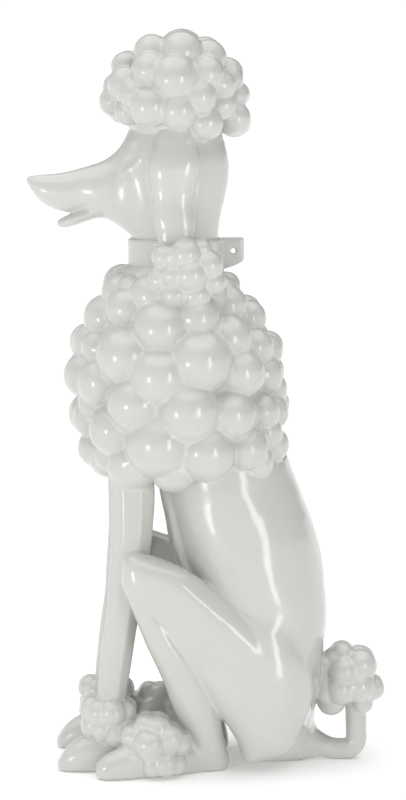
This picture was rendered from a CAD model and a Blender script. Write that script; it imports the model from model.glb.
"""A seated poodle in white glazed ceramic, on a pale floor under soft studio light.

Every clay subcomponent of the frame is rebuilt as its own glazed piece. The frame's solids become
distance fields, the fields are joined and softened as a poured glaze does, fine modelling is added
to them, and each piece is cut back out of the joined field where its own solid is the nearest.
"""

import math

import bpy
import numpy as np
import openvdb
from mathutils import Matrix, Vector


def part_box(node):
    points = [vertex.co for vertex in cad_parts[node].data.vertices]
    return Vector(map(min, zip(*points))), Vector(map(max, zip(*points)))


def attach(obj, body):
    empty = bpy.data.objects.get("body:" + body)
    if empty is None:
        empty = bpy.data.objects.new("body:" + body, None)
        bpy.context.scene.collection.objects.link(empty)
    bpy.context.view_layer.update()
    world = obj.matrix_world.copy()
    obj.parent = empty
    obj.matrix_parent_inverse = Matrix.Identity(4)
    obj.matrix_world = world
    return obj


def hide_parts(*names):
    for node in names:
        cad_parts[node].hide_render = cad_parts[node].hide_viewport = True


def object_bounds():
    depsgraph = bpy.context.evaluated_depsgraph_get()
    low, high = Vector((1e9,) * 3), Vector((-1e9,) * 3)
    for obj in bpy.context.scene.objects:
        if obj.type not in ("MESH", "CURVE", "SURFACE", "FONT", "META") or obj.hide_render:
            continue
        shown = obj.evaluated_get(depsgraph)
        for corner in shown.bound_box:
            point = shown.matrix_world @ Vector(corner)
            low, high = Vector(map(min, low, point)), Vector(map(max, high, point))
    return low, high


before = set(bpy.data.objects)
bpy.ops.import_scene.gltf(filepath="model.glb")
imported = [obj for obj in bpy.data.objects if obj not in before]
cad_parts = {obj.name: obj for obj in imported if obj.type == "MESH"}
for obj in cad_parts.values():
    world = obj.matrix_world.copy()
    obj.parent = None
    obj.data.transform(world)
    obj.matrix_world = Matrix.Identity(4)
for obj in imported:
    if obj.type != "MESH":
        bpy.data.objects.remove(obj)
cad_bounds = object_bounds()

MM = 0.001
CELL = 1.25 * MM
BORDER = 6  # cells kept clear round every field
NARROW_BAND = 6 * MM  # how far from a surface its distance is known
WIDE_BAND = 26 * MM  # the same for pieces joined by wide fillets
GLAZE_SOFTNESS = 0.75 * MM  # how far the glaze rounds an edge
OVERLAP = 2.2 * MM  # how far neighbouring pieces run on under each other
DIVE = 0.35 * MM  # how deep the part that runs on lies below the skin

SIDES = ("left", "right")

# Pieces that run into each other, with the radius of the fillet where each joins what comes before
# it, at the front of the torso and at its back.
RUMP = [
    ("torso", 0, 0),
    ("left_haunch", 2.5, 30),
    ("right_haunch", 2.5, 30),
    ("left_hind_shank", 2.5, 5),
    ("right_hind_shank", 2.5, 5),
    ("left_hind_paw", 8, 8),
    ("right_hind_paw", 8, 8),
    ("tail", 14, 14),
]
HEAD = [("head", 0, 0), ("lower_jaw", 4, 4), ("left_ear", 3, 3), ("right_ear", 3, 3)]
JOINED = [RUMP, HEAD]
CURL_TOPS = 88  # the percentile of the relief that counts as the tops of the curls
# Pieces of curls: how far their relief is looked at, how deep a crease goes before glaze fills it,
# and how much it fills.
CURLED = {
    "mane": (7.5, 3.0, 1.0),
    "topknot": (5.0, 2.4, 0.8),
    "tail_pompom": (3.2, 2.0, 0.5),
    "left_ear_tassel": (3.2, 2.0, 0.5),
    "right_ear_tassel": (3.2, 2.0, 0.5),
    "left_hind_cuff": (3.2, 2.0, 0.5),
    "right_hind_cuff": (3.2, 2.0, 0.5),
    "left_fore_cuff": (3.2, 2.0, 0.5),
    "right_fore_cuff": (3.2, 2.0, 0.5),
}


# ---------------------------------------------------------------- distance fields

transform = openvdb.createLinearTransform(voxelSize=CELL)


def welded(node):
    """A CAD node's triangles with the points its faces share made one."""
    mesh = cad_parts[node].data
    points = np.empty(len(mesh.vertices) * 3, np.float32)
    mesh.vertices.foreach_get("co", points)
    points = points.reshape(-1, 3)
    mesh.calc_loop_triangles()
    corners = np.empty(len(mesh.loop_triangles) * 3, np.int32)
    mesh.loop_triangles.foreach_get("vertices", corners)
    steps = np.round(points.astype(np.float64) / (0.002 * MM)).astype(np.int64) + (1 << 20)
    keys = (steps[:, 0] << 42) + (steps[:, 1] << 21) + steps[:, 2]
    _, first, shared = np.unique(keys, return_index=True, return_inverse=True)
    return points[first], shared[corners].reshape(-1, 3).astype(np.uint32)


class Field:
    """Samples of a distance on the shared lattice, from cell `low` on."""

    def __init__(self, low, values):
        self.low = np.array(low)
        self.values = values

    @property
    def high(self):
        return self.low + self.values.shape

    def window(self, low, high):
        """The part of the values between two cells, as a view."""
        a, b = low - self.low, high - self.low
        return self.values[a[0] : b[0], a[1] : b[1], a[2] : b[2]]


def mesh_field(points, triangles, quads, band):
    """Distance to a closed mesh, negative inside, held at the band beyond it."""
    cells = band / CELL
    grid = openvdb.FloatGrid.createLevelSetFromPolygons(
        points, triangles=triangles, quads=quads, transform=transform, halfWidth=cells
    )
    pad = int(cells) + BORDER
    low = np.floor(points.min(0) / CELL).astype(int) - pad
    high = np.ceil(points.max(0) / CELL).astype(int) + pad
    values = np.empty(tuple(high - low), np.float32)
    grid.copyToArray(values, ijk=tuple(int(i) for i in low))
    return Field(low, values)


def surface(field, adaptivity=0.0):
    """The mesh where a field passes through zero."""
    held = np.clip(field.values, -4 * CELL, 4 * CELL)
    grid = openvdb.FloatGrid(4 * CELL)
    grid.transform = transform
    grid.copyFromArray(np.ascontiguousarray(held), ijk=tuple(int(i) for i in field.low))
    return grid.convertToPolygons(isovalue=0.0, adaptivity=adaptivity)


def solid_field(node, band):
    """Distance to a CAD node's surface, hollows and all."""
    points, triangles = welded(node)
    return mesh_field(points, triangles, None, band)


def unhollowed(field, band, axes=(0, 1)):
    """The same solid without its hollow: cells that are shut in along these axes are clay."""
    inside = field.values < 0
    shut_in = np.ones_like(inside)
    for axis in axes:
        before = np.logical_or.accumulate(inside, axis=axis)
        after = np.flip(np.logical_or.accumulate(np.flip(inside, axis), axis=axis), axis)
        shut_in &= before & after
    clay = np.where(shut_in, -np.abs(field.values) - 0.2 * CELL, field.values)
    points, triangles, quads = surface(Field(field.low, clay))
    return mesh_field(points, triangles, quads, band)


def softened(values, sigma):
    """The values blurred by a Gaussian of that many cells."""
    reach = max(1, int(math.ceil(2.6 * sigma)))
    taps = np.exp(-0.5 * (np.arange(-reach, reach + 1) / sigma) ** 2)
    taps = (taps / taps.sum()).astype(np.float32)
    for axis in range(3):
        widths = [(reach, reach) if a == axis else (0, 0) for a in range(3)]
        padded = np.pad(values, widths, mode="edge")
        length = values.shape[axis]
        total = np.zeros_like(values)
        for i, tap in enumerate(taps):
            part = [slice(None)] * 3
            part[axis] = slice(i, i + length)
            total += tap * padded[tuple(part)]
        values = total
    return values


def filleted(a, b, radius):
    """The smaller of two distances, rounded over a fillet where they meet."""
    gap = np.maximum(radius - np.abs(a - b), 0) / radius
    return np.minimum(a, b) - gap * gap * radius * 0.25


def eased(value, start, end):
    """0 before start, 1 after end, and a smooth rise between them."""
    share = np.clip((value - start) / (end - start), 0, 1)
    return share * share * (3 - 2 * share)


def axis_places(field, axis):
    """The row-frame coordinates of a field's cells along one axis, shaped to broadcast."""
    places = ((np.arange(field.values.shape[axis]) + field.low[axis]) * CELL).astype(np.float32)
    return places.reshape([-1 if a == axis else 1 for a in range(3)])


def filled_creases(field, reach, depth, rate):
    """Curls whose creases below a depth under the curls' tops are filled by clay and glaze."""
    held = np.clip(field.values, -NARROW_BAND, NARROW_BAND)
    around = softened(held, reach * MM / CELL)
    on_surface = np.abs(field.values) < 0.4 * CELL
    tops = np.percentile(around[on_surface], CURL_TOPS)
    below = np.maximum(tops - around - depth * MM, 0)
    field.values -= rate * below


TORSO_BOX = [np.array(c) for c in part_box("torso")]
HEAD_BOX = [np.array(c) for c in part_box("head")]


def in_box(box, *shares):
    """The point at these shares of a box's length, breadth and height."""
    return [lo + share * (hi - lo) for share, lo, hi in zip(shares, *box)]


FILLET_START = in_box(TORSO_BOX, 0.42)[0]
FILLET_END = in_box(TORSO_BOX, 0.80)[0]
CHEEK = in_box(HEAD_BOX, 0.36)[0], in_box(HEAD_BOX, 0.48)[0]
CHEEK_SOFTNESS = 5 * MM
EAR_EDGE = 1 * MM, 12 * MM  # the cheek's softening fades in over this distance from an ear
THIGH_FLAT = 3.5 * MM  # how much is pared off the outermost face of a thigh
THIGH_RIM = 6 * MM

fields = {}
for group in JOINED:
    for name, _, _ in group:
        fields[name] = solid_field(name, WIDE_BAND)
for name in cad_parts:
    if name not in fields:
        fields[name] = solid_field(name, NARROW_BAND)
fields["head"] = unhollowed(fields["head"], WIDE_BAND)
for side in SIDES:
    thigh = unhollowed(fields[side + "_haunch"], WIDE_BAND, axes=(0, 2))
    fields[side + "_haunch"] = thigh
    outside = max(abs(c[1]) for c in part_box(side + "_haunch")) - THIGH_FLAT
    beyond = np.abs(axis_places(thigh, 1)) - outside
    thigh.values[:] = -filleted(-thigh.values, -beyond, THIGH_RIM)
for name, (reach, depth, rate) in CURLED.items():
    filled_creases(fields[name], reach, depth, rate)

low_cell = np.min([f.low for f in fields.values()], axis=0)
high_cell = np.max([f.high for f in fields.values()], axis=0)
size = tuple(high_cell - low_cell)
nearest = Field(low_cell, np.full(size, WIDE_BAND, np.float32))
runner_up = Field(low_cell, np.full(size, WIDE_BAND, np.float32))
owner = Field(low_cell, np.full(size, -1, np.int8))

bodies = []
for group in JOINED:
    low = np.min([fields[n].low for n, _, _ in group], axis=0)
    high = np.max([fields[n].high for n, _, _ in group], axis=0)
    joined = Field(low, np.full(tuple(high - low), WIDE_BAND, np.float32))
    for name, front_radius, back_radius in group:
        part = fields[name]
        view = joined.window(part.low, part.high)
        if front_radius:
            back = eased(axis_places(part, 0), FILLET_START, FILLET_END)
            radius = (front_radius + (back_radius - front_radius) * back) * MM
            view[:] = filleted(view, part.values, radius)
        else:
            view[:] = np.minimum(view, part.values)
    if group is HEAD:
        smooth = softened(joined.values, CHEEK_SOFTNESS / CELL)
        share = eased(axis_places(joined, 0), *CHEEK)
        for ear in ("left_ear", "right_ear"):
            part = fields[ear]
            near = Field(joined.low, np.zeros_like(joined.values))
            window = near.window(part.low, part.high)
            window[:] = 1 - eased(part.values, *EAR_EDGE)
            share = share * (1 - near.values)
        joined.values += share * (smooth - joined.values)
    bodies.append(([n for n, _, _ in group], joined))
grouped = {n for names, _ in bodies for n in names}
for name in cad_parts:
    if name not in grouped:
        bodies.append(([name], fields[name]))

for number, (names, part) in enumerate(bodies):
    best = nearest.window(part.low, part.high)
    second = runner_up.window(part.low, part.high)
    mine = owner.window(part.low, part.high)
    wins = part.values < best
    np.copyto(second, np.where(wins, best, np.minimum(second, part.values)))
    np.copyto(best, part.values, where=wins)
    mine[wins] = number

skin = Field(low_cell, softened(nearest.values, GLAZE_SOFTNESS / CELL))


BESIDE_HEAD = 10 * MM


def stroke(points, width, depth):
    """Press a rounded groove, or for a negative depth raise a ridge, along a line on the head's sides.

    The points are shares of the head's length and height, and width and depth are millimetres."""
    line = [in_box(HEAD_BOX, a, 0.5, b) for a, b in points]
    line = [(p[0], p[2]) for p in line]
    margin = 3 * width * MM
    xs, zs = [p[0] for p in line], [p[1] for p in line]
    low = np.array([min(xs) - margin, HEAD_BOX[0][1] - BESIDE_HEAD, min(zs) - margin])
    high = np.array([max(xs) + margin, HEAD_BOX[1][1] + BESIDE_HEAD, max(zs) + margin])
    low = np.floor(low / CELL).astype(int)
    high = np.ceil(high / CELL).astype(int)
    window = skin.window(low, high)
    xs = (np.arange(low[0], high[0]) * CELL)[:, None]
    zs = (np.arange(low[2], high[2]) * CELL)[None, :]
    nearest_point = np.full((len(xs), zs.shape[1]), np.inf)
    segments = list(zip(line, line[1:])) or [(line[0], line[0])]
    for a, b in segments:
        dx, dz = b[0] - a[0], b[1] - a[1]
        length = max(dx * dx + dz * dz, 1e-12)
        along = np.clip(((xs - a[0]) * dx + (zs - a[1]) * dz) / length, 0, 1)
        gap = (xs - a[0] - along * dx) ** 2 + (zs - a[1] - along * dz) ** 2
        nearest_point = np.minimum(nearest_point, gap)
    press = depth * MM * np.exp(-nearest_point / (width * MM) ** 2)
    ys = np.arange(low[1], high[1]) * CELL
    beside = eased(np.abs(ys), 5 * MM, 13 * MM)
    window += (press[:, None, :] * beside[None, :, None]).astype(np.float32)


# Eyes: a hollow under the brow, its lower lid and the cheekbone below it, the groove before the cheek,
# the ridge before that, and the corner of the mouth.
stroke([(0.466, 0.694), (0.500, 0.726), (0.525, 0.756), (0.530, 0.816)], 4.0, 1.7)
stroke([(0.478, 0.652), (0.5125, 0.686), (0.540, 0.710), (0.558, 0.745)], 2.0, -0.8)
stroke([(0.505, 0.602)], 5.5, -0.7)
stroke([(0.456, 0.633), (0.449, 0.572), (0.450, 0.500)], 4.0, 0.9)
stroke([(0.437, 0.729), (0.443, 0.686), (0.427, 0.626), (0.413, 0.562), (0.415, 0.475)], 3.0, -0.25)
stroke([(0.150, 0.352), (0.200, 0.380), (0.309, 0.442)], 2.2, 1.0)


def hand_smoothing(values):
    """The slow unevenness that a sponge leaves on a cast form."""
    places = []
    for count, start in zip(values.shape, low_cell):
        places.append(((np.arange(count) + start) * CELL / MM).astype(np.float32))
    x = places[0][:, None, None]
    y = places[1][None, :, None]
    z = places[2][None, None, :]
    turn = 2 * math.pi
    flank = np.sin(turn * (x / 82 + z / 150) + 0.4) * np.sin(turn * (z / 118) + 1.1)
    small = np.sin(turn * (x / 37 - z / 53)) * np.sin(turn * (y / 41 + z / 67) + 0.7)
    on_torso = eased(-z, -306, -290) * eased(z, 20, 60)
    values += (0.6 * MM) * flank * on_torso + (0.10 * MM) * small
    ear = eased(np.abs(y), 38, 46) * eased(z, 548, 560) * eased(-z, -650, -638)
    values += (1.5 * MM) * ear * np.sin(turn * (z - 578) / 56)


hand_smoothing(skin.values)
# Nothing reaches below the ground the figure stands on.
ground = cad_bounds[0][2] - (np.arange(size[2]) + low_cell[2]) * CELL
np.maximum(skin.values, ground.astype(np.float32)[None, None, :], out=skin.values)
wide = Field(low_cell, softened(np.clip(skin.values, -4 * MM, 4 * MM), 2.4 * MM / CELL))


# ---------------------------------------------------------------- pieces


def sampled(field, points):
    """The field's values at points in the row frame, by trilinear interpolation."""
    at = points / CELL - field.low
    top = np.array(field.values.shape) - 2
    cell = np.clip(np.floor(at).astype(int), 0, top)
    part = (at - cell).astype(np.float32)
    flat = field.values.reshape(-1)
    sy = field.values.shape[2]
    sx = field.values.shape[1] * sy
    base = cell[:, 0] * sx + cell[:, 1] * sy + cell[:, 2]
    out = np.zeros(len(points), np.float32)
    for dx in (0, 1):
        wx = part[:, 0] if dx else 1 - part[:, 0]
        for dy in (0, 1):
            wy = part[:, 1] if dy else 1 - part[:, 1]
            for dz in (0, 1):
                wz = part[:, 2] if dz else 1 - part[:, 2]
                out += wx * wy * wz * flat[base + dx * sx + dy * sy + dz]
    return out


def slope(field, points):
    """Unit direction of the field's rise at each point."""
    rise = np.empty((len(points), 3), np.float32)
    for axis in range(3):
        step = np.zeros(3)
        step[axis] = 0.9 * CELL
        rise[:, axis] = sampled(field, points + step) - sampled(field, points - step)
    length = np.linalg.norm(rise, axis=1)
    return rise / np.maximum(length, 1e-12)[:, None]


def cut_out(name, number, names, joined):
    """The share of the glazed surface that belongs to one piece, as a closed mesh."""
    own = fields[name]
    low, high = own.low, own.high
    rival = np.full(own.values.shape, WIDE_BAND, np.float32)
    for other in names:
        if other == name:
            continue
        part = fields[other]
        a, b = np.maximum(low, part.low), np.minimum(high, part.high)
        if (a < b).all():
            view = rival[tuple(slice(i, j) for i, j in zip(a - low, b - low))]
            np.minimum(view, part.window(a, b), out=view)
    border = 0.5 * (own.values - rival)
    winner = owner.window(low, high) == number
    best = nearest.window(low, high)
    others = np.where(winner, runner_up.window(low, high), best)
    whole = np.where(winner, best, joined.window(low, high))
    border = np.maximum(border, 0.5 * (whole - others))
    dive = np.clip(border / OVERLAP, 0, 1) * DIVE
    share = np.maximum(skin.window(low, high) + dive, border - OVERLAP)
    return surface(Field(low, share.astype(np.float32)), adaptivity=0.02)


def make_piece(name, points, triangles, quads):
    points = points.astype(np.float64)
    normals = slope(skin, points)
    mesh = bpy.data.meshes.new("glazed_" + name)
    faces = quads.tolist() + triangles.tolist()
    mesh.from_pydata(points, [], faces)
    mesh.update()
    mesh.polygons.foreach_set("use_smooth", np.ones(len(mesh.polygons), bool))
    mesh.normals_split_custom_set_from_vertices(normals.tolist())
    hollow = sampled(wide, points) / MM
    pool = mesh.attributes.new("pool", "FLOAT", "POINT")
    pool.data.foreach_set("value", hollow.astype(np.float32))
    piece = bpy.data.objects.new("glazed_" + name, mesh)
    bpy.context.scene.collection.objects.link(piece)
    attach(piece, "root")
    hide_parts(name)
    return piece


made = {}
for number, (names, joined) in enumerate(bodies):
    for name in names:
        points, triangles, quads = cut_out(name, number, names, joined)
        made[name] = make_piece(name, points, triangles, quads)


# ---------------------------------------------------------------- materials


GLAZE_ROUGHNESS = 0.22
GLAZE_COAT = 0.6
BARE_CLAY_ROUGHNESS = 0.9
WIPED_BELOW = 0.8 * MM, 1.6 * MM


def glaze_material():
    material = bpy.data.materials.new("white_glaze")
    material.use_nodes = True
    tree = material.node_tree
    nodes, link = tree.nodes, tree.links.new
    shader = nodes["Principled BSDF"]
    shader.inputs["IOR"].default_value = 1.5
    shader.inputs["Coat Roughness"].default_value = 0.09
    shader.inputs["Coat IOR"].default_value = 1.5

    place = nodes.new("ShaderNodeTexCoord")
    pool = nodes.new("ShaderNodeAttribute")
    pool.attribute_name = "pool"
    ramp = nodes.new("ShaderNodeValToRGB")
    ramp.color_ramp.elements[0].position = 0.0
    ramp.color_ramp.elements[0].color = (0.72, 0.72, 0.69, 1)
    ramp.color_ramp.elements[1].position = 1.0
    ramp.color_ramp.elements[1].color = (0.615, 0.615, 0.585, 1)
    deep = nodes.new("ShaderNodeMapRange")
    deep.inputs["From Min"].default_value = -1.6
    deep.inputs["From Max"].default_value = 0.15
    link(pool.outputs["Fac"], deep.inputs["Value"])
    link(deep.outputs["Result"], ramp.inputs["Fac"])
    mottle = nodes.new("ShaderNodeTexNoise")
    mottle.inputs["Scale"].default_value = 18
    mottle.inputs["Detail"].default_value = 3
    link(place.outputs["Object"], mottle.inputs["Vector"])
    mix = nodes.new("ShaderNodeMix")
    mix.data_type = "RGBA"
    mix.blend_type = "MULTIPLY"
    mix.inputs["Factor"].default_value = 0.06
    link(ramp.outputs["Color"], mix.inputs["A"])
    link(mottle.outputs["Fac"], mix.inputs["B"])

    # Pinholes: rare fine dark specks where gas left the glaze.
    speck = nodes.new("ShaderNodeTexNoise")
    speck.inputs["Scale"].default_value = 700
    speck.inputs["Detail"].default_value = 0
    link(place.outputs["Object"], speck.inputs["Vector"])
    pinhole = nodes.new("ShaderNodeMapRange")
    pinhole.inputs["From Min"].default_value = 0.82
    pinhole.inputs["From Max"].default_value = 0.88
    link(speck.outputs["Fac"], pinhole.inputs["Value"])
    specked = nodes.new("ShaderNodeMix")
    specked.data_type = "RGBA"
    specked.inputs["B"].default_value = (0.47, 0.46, 0.43, 1)
    link(pinhole.outputs["Result"], specked.inputs["Factor"])
    link(mix.outputs["Result"], specked.inputs["A"])

    # The soles and the seat are wiped bare of glaze, up to a line just above the ground.
    height = nodes.new("ShaderNodeSeparateXYZ")
    link(place.outputs["Object"], height.inputs["Vector"])
    wiped = nodes.new("ShaderNodeMapRange")
    wiped.inputs["From Min"].default_value = WIPED_BELOW[1]
    wiped.inputs["From Max"].default_value = WIPED_BELOW[0]
    link(height.outputs["Z"], wiped.inputs["Value"])
    bare = nodes.new("ShaderNodeMix")
    bare.data_type = "RGBA"
    bare.inputs["B"].default_value = (0.50, 0.44, 0.36, 1)
    link(wiped.outputs["Result"], bare.inputs["Factor"])
    link(specked.outputs["Result"], bare.inputs["A"])
    link(bare.outputs["Result"], shader.inputs["Base Color"])
    dull = nodes.new("ShaderNodeMapRange")
    dull.inputs["To Min"].default_value = GLAZE_ROUGHNESS
    dull.inputs["To Max"].default_value = BARE_CLAY_ROUGHNESS
    link(wiped.outputs["Result"], dull.inputs["Value"])
    link(dull.outputs["Result"], shader.inputs["Roughness"])
    coated = nodes.new("ShaderNodeMapRange")
    coated.inputs["To Min"].default_value = GLAZE_COAT
    coated.inputs["To Max"].default_value = 0.0
    link(wiped.outputs["Result"], coated.inputs["Value"])
    link(coated.outputs["Result"], shader.inputs["Coat Weight"])

    peel = nodes.new("ShaderNodeTexNoise")
    peel.inputs["Scale"].default_value = 260
    peel.inputs["Detail"].default_value = 2
    link(place.outputs["Object"], peel.inputs["Vector"])
    waver = nodes.new("ShaderNodeTexNoise")
    waver.inputs["Scale"].default_value = 34
    waver.inputs["Detail"].default_value = 1
    link(place.outputs["Object"], waver.inputs["Vector"])
    fine = nodes.new("ShaderNodeBump")
    fine.inputs["Strength"].default_value = 0.25
    fine.inputs["Distance"].default_value = 0.00005
    link(peel.outputs["Fac"], fine.inputs["Height"])
    broad = nodes.new("ShaderNodeBump")
    calm = nodes.new("ShaderNodeMapRange")
    calm.inputs["From Min"].default_value = 0.07
    calm.inputs["From Max"].default_value = 0.16
    calm.inputs["To Max"].default_value = 0.5
    link(height.outputs["Z"], calm.inputs["Value"])
    link(calm.outputs["Result"], broad.inputs["Strength"])
    broad.inputs["Distance"].default_value = 0.0012
    link(waver.outputs["Fac"], broad.inputs["Height"])
    link(fine.outputs["Normal"], broad.inputs["Normal"])
    link(broad.outputs["Normal"], shader.inputs["Normal"])
    link(broad.outputs["Normal"], shader.inputs["Coat Normal"])
    return material


def floor_material():
    material = bpy.data.materials.new("pale_floor")
    material.use_nodes = True
    shader = material.node_tree.nodes["Principled BSDF"]
    shader.inputs["Base Color"].default_value = (0.90, 0.90, 0.90, 1)
    shader.inputs["Roughness"].default_value = 0.7
    shader.inputs["Specular IOR Level"].default_value = 0.2
    shader.inputs["Emission Color"].default_value = (1, 1, 1, 1)
    shader.inputs["Emission Strength"].default_value = 0.22
    return material


glaze = glaze_material()
for piece in made.values():
    piece.data.materials.append(glaze)
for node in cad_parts.values():
    node.data.materials.clear()
    node.data.materials.append(glaze)


# ---------------------------------------------------------------- floor, light and camera

low, high = (Vector(c) for c in cad_bounds)
middle = (low + high) / 2

floor_mesh = bpy.data.meshes.new("studio_floor")
reach = 30.0
floor_mesh.from_pydata(
    [(-reach, -reach, low.z), (reach, -reach, low.z), (reach, reach, low.z), (-reach, reach, low.z)],
    [],
    [(0, 1, 2, 3)],
)
floor = bpy.data.objects.new("studio_floor", floor_mesh)
floor.data.materials.append(floor_material())
bpy.context.scene.collection.objects.link(floor)

world = bpy.data.worlds.new("studio")
world.use_nodes = True
sky = world.node_tree
towards = sky.nodes.new("ShaderNodeTexCoord")
parts = sky.nodes.new("ShaderNodeSeparateXYZ")
sky.links.new(towards.outputs["Generated"], parts.inputs["Vector"])
SKY_STRENGTH = 3.0
# How bright the studio is at each height, on the window side and on the other.
SKY_LEFT = [(0.0, 1.03), (0.08, 1.03), (0.26, 0.55), (0.66, 0.60), (0.84, 1.9), (1.0, 1.9)]
SKY_RIGHT = [(0.0, 1.03), (0.05, 1.03), (0.14, 0.10), (0.66, 0.16), (0.84, 1.7), (1.0, 1.7)]
domes = []
for stops in (SKY_LEFT, SKY_RIGHT):
    dome = sky.nodes.new("ShaderNodeValToRGB")
    dome.color_ramp.interpolation = "EASE"
    while len(dome.color_ramp.elements) < len(stops):
        dome.color_ramp.elements.new(0.5)
    for stop, (at, level) in zip(dome.color_ramp.elements, stops):
        stop.position = at
        stop.color = (level / SKY_STRENGTH,) * 3 + (1,)
    sky.links.new(parts.outputs["Z"], dome.inputs["Fac"])
    domes.append(dome)
across = sky.nodes.new("ShaderNodeMapRange")
across.inputs["From Min"].default_value = -0.7
across.inputs["From Max"].default_value = 0.7
sky.links.new(parts.outputs["X"], across.inputs["Value"])
both = sky.nodes.new("ShaderNodeMix")
both.data_type = "RGBA"
sky.links.new(across.outputs["Result"], both.inputs["Factor"])
sky.links.new(domes[0].outputs["Color"], both.inputs["A"])
sky.links.new(domes[1].outputs["Color"], both.inputs["B"])
sky.links.new(both.outputs["Result"], sky.nodes["Background"].inputs["Color"])
sky.nodes["Background"].inputs["Strength"].default_value = SKY_STRENGTH
bpy.context.scene.world = world


def soft_box(name, azimuth, distance, height, width, tall, power):
    """A rectangular lamp standing at an angle round from the camera's side, facing the figure."""
    data = bpy.data.lights.new(name, "AREA")
    data.shape = "RECTANGLE"
    data.size = width
    data.size_y = tall
    data.energy = power
    lamp = bpy.data.objects.new(name, data)
    turn = math.radians(azimuth)
    place = Vector((middle.x + distance * math.sin(turn), middle.y - distance * math.cos(turn), height))
    lamp.location = place
    lamp.rotation_euler = (middle - place).to_track_quat("-Z", "Y").to_euler()
    bpy.context.scene.collection.objects.link(lamp)
    return lamp


soft_box("strip_left", -40, 2.2, 0.22, 0.40, 0.48, 5.2)
soft_box("strip_right", 33, 2.2, 0.55, 0.38, 1.1, 6.8)

camera_data = bpy.data.cameras.new("camera")
camera_data.lens = 117.25
camera_data.sensor_width = 36
camera_data.sensor_fit = "AUTO"
camera = bpy.data.objects.new("camera", camera_data)
camera.location = (-0.005, -2.669, 0.716)
camera.rotation_euler = (math.radians(90 - 7.2), 0, 0)
bpy.context.scene.collection.objects.link(camera)
bpy.context.scene.camera = camera
bpy.context.scene.view_settings.view_transform = "Standard"
